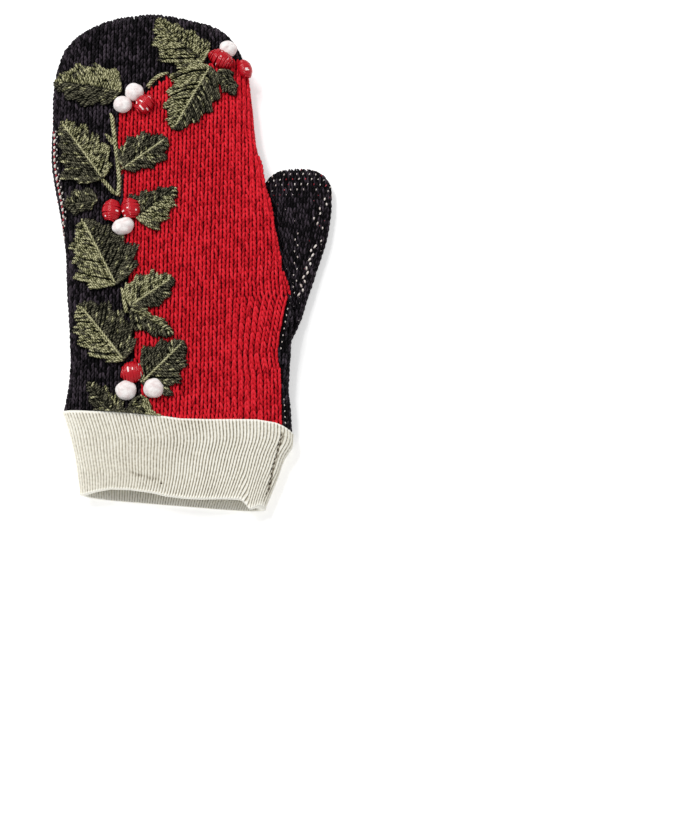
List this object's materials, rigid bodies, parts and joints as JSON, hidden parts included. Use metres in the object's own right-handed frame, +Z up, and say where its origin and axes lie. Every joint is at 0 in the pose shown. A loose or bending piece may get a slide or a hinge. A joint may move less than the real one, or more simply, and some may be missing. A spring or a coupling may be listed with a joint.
{
  "type": "embroidered christmas mitten",
  "caption": "Hollow knitted mitten lying palm down, with a thumb, a ribbed cuff and padded holly leaves and berries sewn on its two-colour back.",
  "frame": {"origin": "on the flat underside of the palm, below the middle of the hand, where the mitten rests", "axes": "+X towards the thumb, +Y towards the finger tip, +Z up out of the embroidered back"},
  "size_m": [0.14, 0.2656, 0.0256],
  "materials": {
    "black_wool": "matt knitted wool",
    "red_wool": "matt knitted wool",
    "patterned_wool": "matt knitted wool with white and red flecks",
    "cream_rib": "fine ribbed knit",
    "light_green_thread": "embroidery wool",
    "dark_green_thread": "embroidery wool",
    "red_thread": "glossy wound thread",
    "white_felt": "felted wool"
  },
  "bodies": {
    "root": {"back_black": "black_wool", "back_red": "red_wool", "palm": "patterned_wool", "thumb": "patterned_wool", "cuff": "cream_rib", "leaf_over_tip": "light_green_thread", "leaf_top_right": "dark_green_thread", "leaf_top_small": "dark_green_thread", "leaf_top_left": "dark_green_thread", "leaf_upper_left": "dark_green_thread", "leaf_upper_right": "dark_green_thread", "leaf_left_small": "dark_green_thread", "leaf_middle_right": "dark_green_thread", "leaf_middle_left": "dark_green_thread", "leaf_lower_right": "dark_green_thread", "leaf_lower_small": "dark_green_thread", "leaf_lower_left": "dark_green_thread", "leaf_bottom_right": "dark_green_thread", "leaf_cuff_left": "dark_green_thread", "leaf_cuff_middle": "dark_green_thread", "berry_red_top": "red_thread", "berry_red_edge": "red_thread", "berry_red_upper": "red_thread", "berry_red_middle_left": "red_thread", "berry_red_middle": "red_thread", "berry_red_lower": "red_thread", "berry_white_top": "white_felt", "berry_white_upper": "white_felt", "berry_white_upper_left": "white_felt", "berry_white_middle": "white_felt", "berry_white_lower_left": "white_felt", "berry_white_lower": "white_felt", "vine_top": "light_green_thread", "vine_upper": "light_green_thread", "vine_upper_left": "light_green_thread", "vine_lower": "light_green_thread"}
  },
  "joints": []
}
